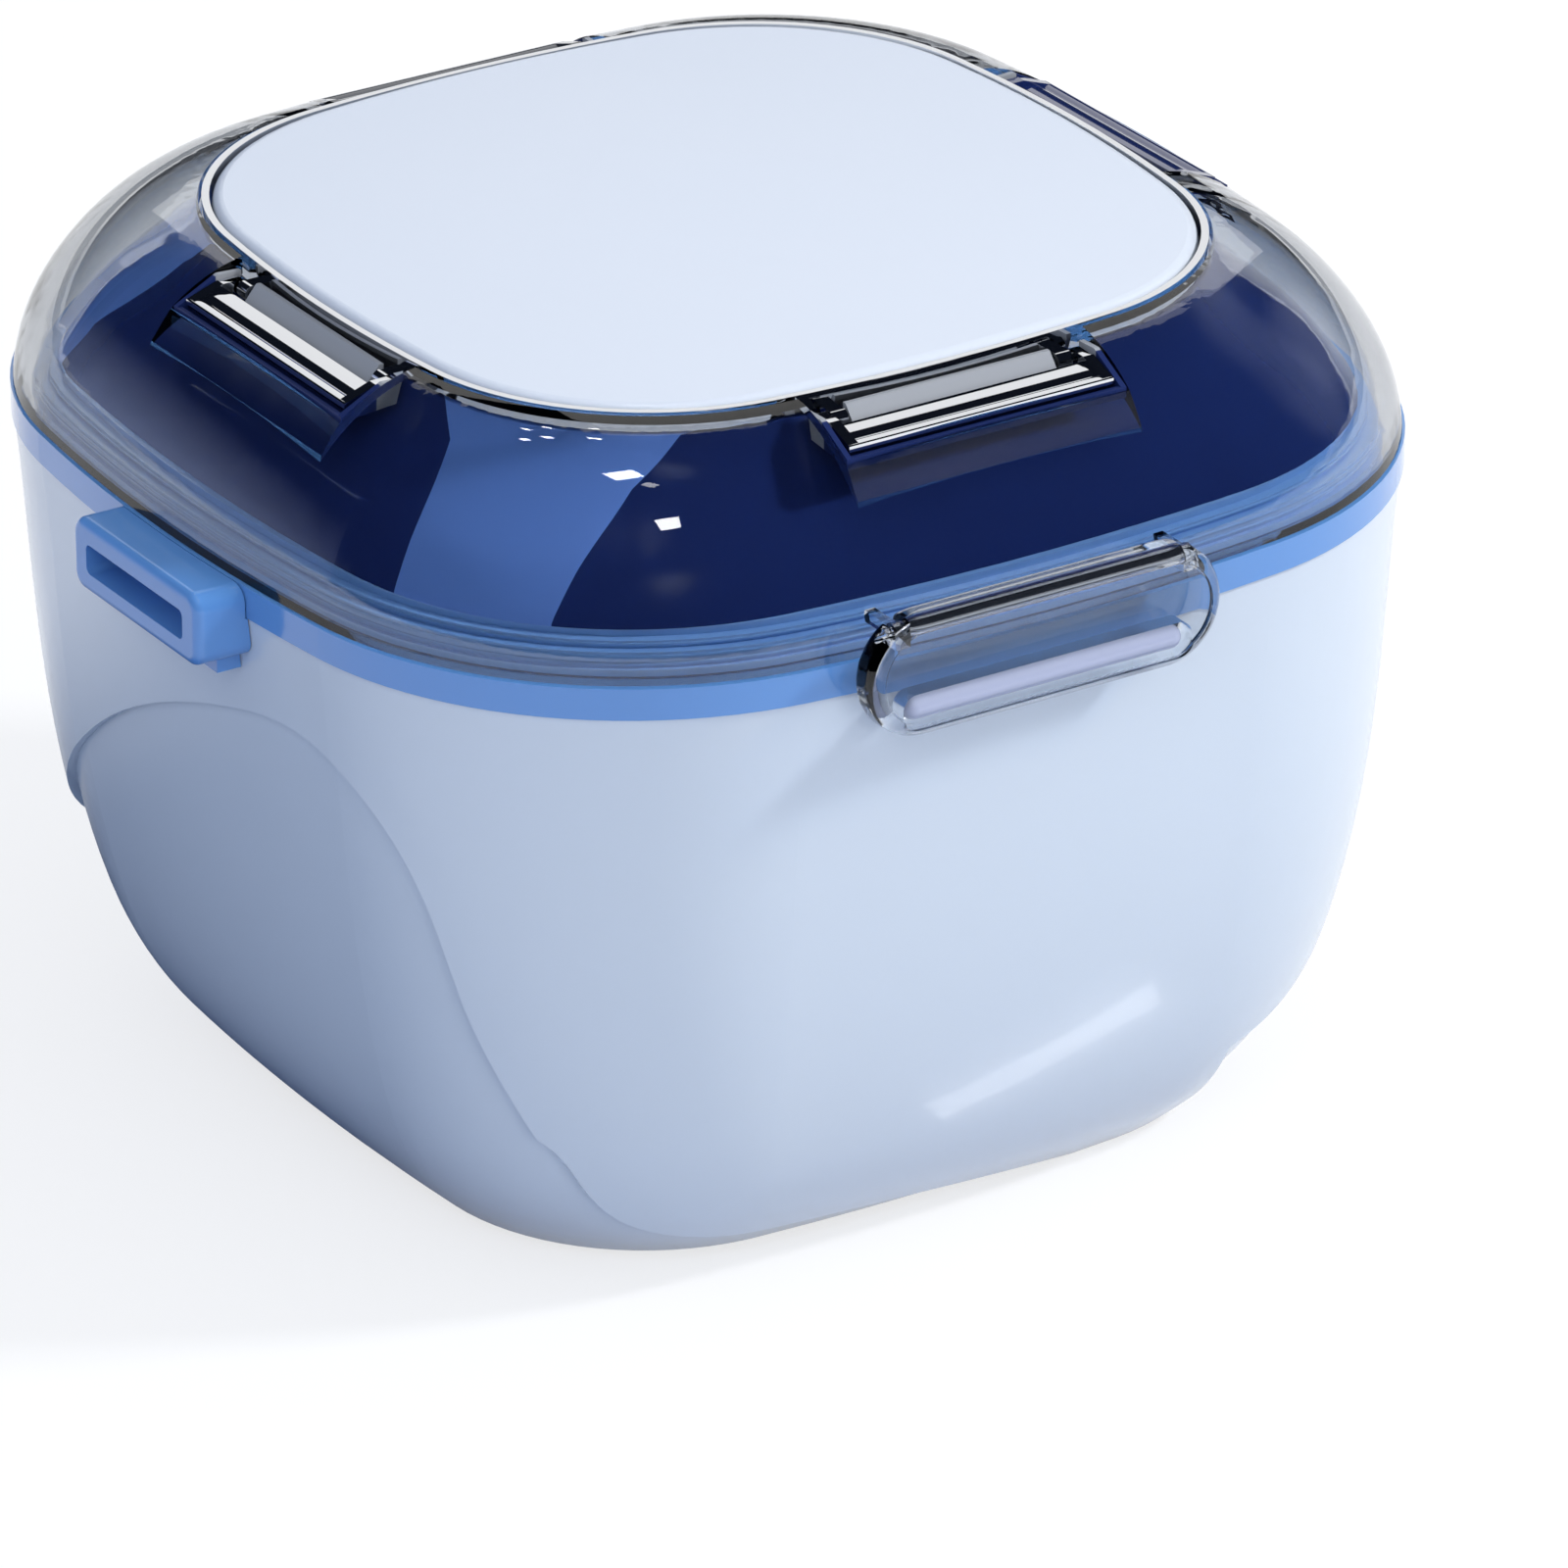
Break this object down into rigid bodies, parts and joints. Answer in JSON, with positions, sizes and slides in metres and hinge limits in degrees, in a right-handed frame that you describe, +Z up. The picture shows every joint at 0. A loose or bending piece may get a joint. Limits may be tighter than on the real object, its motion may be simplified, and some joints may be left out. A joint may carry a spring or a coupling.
{
  "type": "denture case",
  "caption": "Hinged storage and soaking case for dentures: rounded-square tub with strainer basket, clear lid with liner and mirror, front latch and folding pulls.",
  "frame": {"origin": "centre of the tub's flat foot, on the surface that the case stands on", "axes": "+Z up; the latch faces -Y, the hinge is on +Y and the carrying loop on -X"},
  "size_m": [0.1123, 0.1172, 0.0793],
  "materials": {
    "tub_pale_blue": "injection-moulded polypropylene, semi-gloss",
    "collar_blue": "moulded ABS, gloss",
    "loop_blue": "moulded ABS, semi-gloss",
    "catch_white": "moulded acetal, gloss",
    "pin_steel": "ground stainless wire, bright",
    "clear_lid": "clear polycarbonate, polished mould",
    "seal_blue": "moulded ABS, gloss",
    "gasket_rubber": "moulded silicone, matt",
    "liner_navy": "moulded ABS, high gloss",
    "inlay_blue": "moulded ABS, gloss",
    "mirror_glass": "silvered acrylic sheet",
    "panel_white": "moulded ABS, fine satin",
    "bezel_chrome": "chrome-plated ABS trim",
    "latch_clear": "clear acrylic, polished mould",
    "basket_white": "moulded polypropylene, satin",
    "pull_chrome": "chrome-plated ABS",
    "pull_navy": "moulded ABS, high gloss",
    "pull_grey": "moulded ABS, gloss",
    "cup_grey": "moulded ABS, satin"
  },
  "bodies": {
    "base_assembly": {"tub": "tub_pale_blue", "rim_collar": "collar_blue", "side_loop": "loop_blue", "catch_bar": "catch_white", "tub_hinge_leaf": "collar_blue", "hinge_pin": "pin_steel"},
    "lid_assembly": {"lid_shell": "clear_lid", "lid_seal_ring": "seal_blue", "lid_gasket": "gasket_rubber", "lid_liner": "liner_navy", "corner_strap_front": "inlay_blue", "corner_strap_back": "inlay_blue", "mirror": "mirror_glass", "mirror_frame": "liner_navy", "lid_hinge_leaf": "clear_lid", "latch_pin": "pin_steel", "pull_cup_front": "cup_grey", "pull_cup_right": "cup_grey", "pull_cup_back": "cup_grey", "pull_cup_left": "cup_grey"},
    "latch": {"latch_plate": "latch_clear"},
    "panel": {"top_panel": "panel_white", "panel_bezel": "bezel_chrome", "pull_pins": "pin_steel"},
    "front_pull": {"pull_front": "pull_chrome"},
    "right_pull": {"pull_right": "pull_navy"},
    "back_pull": {"pull_back": "pull_grey"},
    "left_pull": {"pull_left": "pull_chrome"},
    "basket": {"strainer_basket": "basket_white"},
    "handle": {"basket_handle": "basket_white"}
  },
  "joints": [
    {"name": "lid_hinge", "type": "hinge", "parent": "base_assembly", "child": "lid_assembly", "pos_m": [0, 0.057, 0.0614], "axis": [-1, 0, 0], "range_deg": [0, 105]},
    {"name": "latch_pivot", "type": "hinge", "parent": "lid_assembly", "child": "latch", "pos_m": [-0.0028, -0.0562, 0.0648], "axis": [-1, 0, 0], "range_deg": [0, 100]},
    {"name": "panel_lift", "type": "slide", "parent": "lid_assembly", "child": "panel", "axis": [0, 0, 1], "range_m": [0, 0.025]},
    {"name": "front_pull_fold", "type": "hinge", "parent": "panel", "child": "front_pull", "pos_m": [0, -0.0393, 0.0763], "axis": [-1, 0, 0], "range_deg": [0, 75]},
    {"name": "right_pull_fold", "type": "hinge", "parent": "panel", "child": "right_pull", "pos_m": [0.0393, 0, 0.0763], "axis": [0, -1, 0], "range_deg": [0, 75]},
    {"name": "back_pull_fold", "type": "hinge", "parent": "panel", "child": "back_pull", "pos_m": [0, 0.0393, 0.0763], "axis": [1, 0, 0], "range_deg": [0, 75]},
    {"name": "left_pull_fold", "type": "hinge", "parent": "panel", "child": "left_pull", "pos_m": [-0.0393, 0, 0.0763], "axis": [0, 1, 0], "range_deg": [0, 75]},
    {"name": "basket_lift", "type": "slide", "parent": "base_assembly", "child": "basket", "axis": [0, 0, 1], "range_m": [0, 0.009]},
    {"name": "handle_fold", "type": "hinge", "parent": "basket", "child": "handle", "pos_m": [0, 0, 0.0465], "axis": [-1, 0, 0], "range_deg": [0, 90]}
  ]
}
